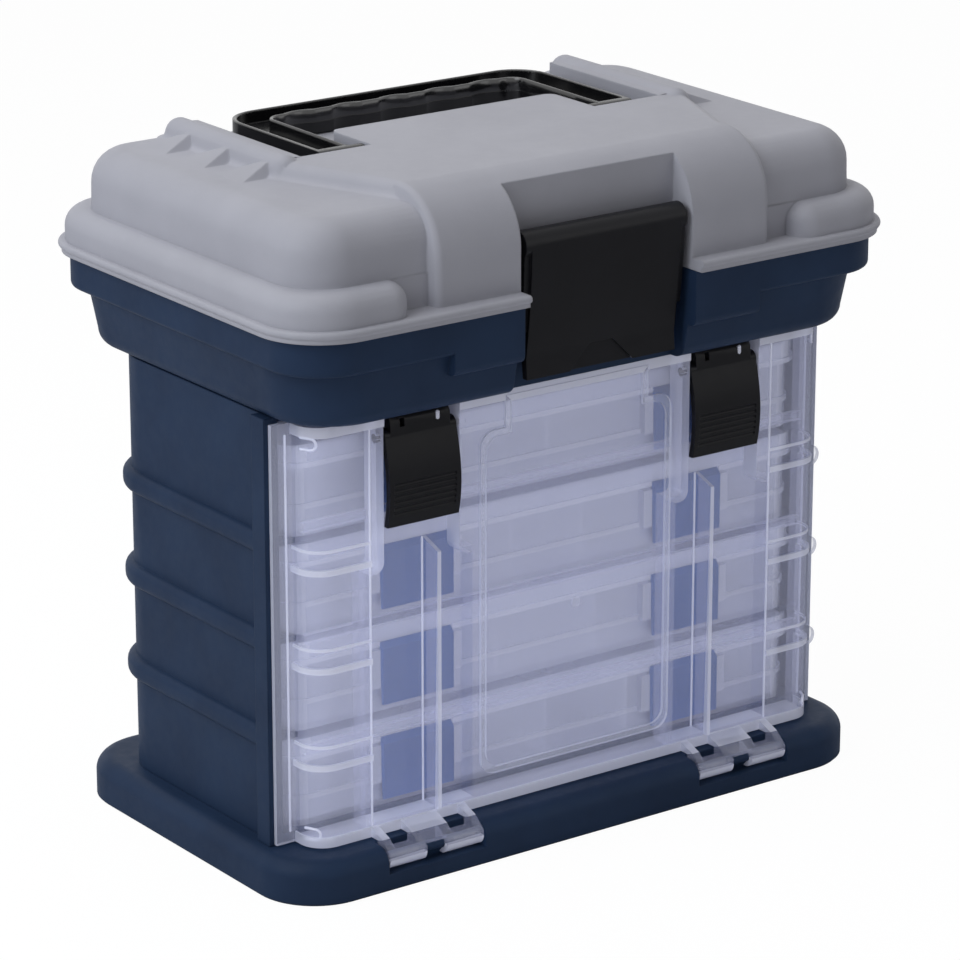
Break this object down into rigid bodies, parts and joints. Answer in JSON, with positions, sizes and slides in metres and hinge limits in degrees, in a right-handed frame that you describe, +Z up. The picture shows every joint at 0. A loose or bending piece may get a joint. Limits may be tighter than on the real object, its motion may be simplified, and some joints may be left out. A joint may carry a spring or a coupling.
{
  "type": "tackle box",
  "caption": "Tackle box with a domed lid over a deep tub, a folding handle, and a drop-down frosted door in front of stacked utility trays.",
  "frame": {"origin": "centre of the outline on the ground, under the plinth", "axes": "+Z up, +X along the long side, the door facing -Y"},
  "size_m": [0.27, 0.1808, 0.256],
  "materials": {
    "navy_plastic": "fine-grained moulded",
    "grey_plastic": "grained moulded",
    "black_plastic": "satin moulded",
    "frosted_plastic": "translucent moulded",
    "tray_plastic": "translucent moulded",
    "blue_plastic": "moulded"
  },
  "bodies": {
    "case": {"base": "navy_plastic", "cabinet": "navy_plastic", "tub": "navy_plastic", "tray_1": "tray_plastic", "tray_lid_1": "tray_plastic", "tray_latches_1": "blue_plastic", "dividers_1": "tray_plastic", "tray_2": "tray_plastic", "tray_lid_2": "tray_plastic", "tray_latches_2": "blue_plastic", "dividers_2": "tray_plastic", "tray_3": "tray_plastic", "tray_lid_3": "tray_plastic", "tray_latches_3": "blue_plastic", "dividers_3": "tray_plastic", "tray_4": "tray_plastic", "tray_lid_4": "tray_plastic", "tray_latches_4": "blue_plastic", "dividers_4": "tray_plastic"},
    "lid": {"lid": "grey_plastic"},
    "handle": {"handle": "black_plastic"},
    "main_latch": {"main_latch": "black_plastic"},
    "door": {"door": "frosted_plastic"},
    "door_latch_left": {"door_latch_left": "black_plastic"},
    "door_latch_right": {"door_latch_right": "black_plastic"}
  },
  "joints": [
    {"name": "lid_hinge", "type": "hinge", "parent": "case", "child": "lid", "pos_m": [0, 0.08662, 0.2055], "axis": [-1, 0, 0], "range_deg": [0, 105]},
    {"name": "handle_pivot", "type": "hinge", "parent": "lid", "child": "handle", "pos_m": [0, -0.00487, 0.249], "axis": [1, 0, 0], "range_deg": [0, 94]},
    {"name": "main_latch_pivot", "type": "hinge", "parent": "lid", "child": "main_latch", "pos_m": [0, -0.07838, 0.2295], "axis": [-1, 0, 0], "range_deg": [0, 90]},
    {"name": "door_hinge", "type": "hinge", "parent": "case", "child": "door", "pos_m": [0, -0.07437, 0.0115], "axis": [1, 0, 0], "range_deg": [0, 90]},
    {"name": "door_latch_left_pivot", "type": "hinge", "parent": "door", "child": "door_latch_left", "pos_m": [-0.0682, -0.06258, 0.1645], "axis": [-1, 0, 0], "range_deg": [0, 50]},
    {"name": "door_latch_right_pivot", "type": "hinge", "parent": "door", "child": "door_latch_right", "pos_m": [0.0682, -0.06258, 0.1645], "axis": [-1, 0, 0], "range_deg": [0, 50]}
  ]
}
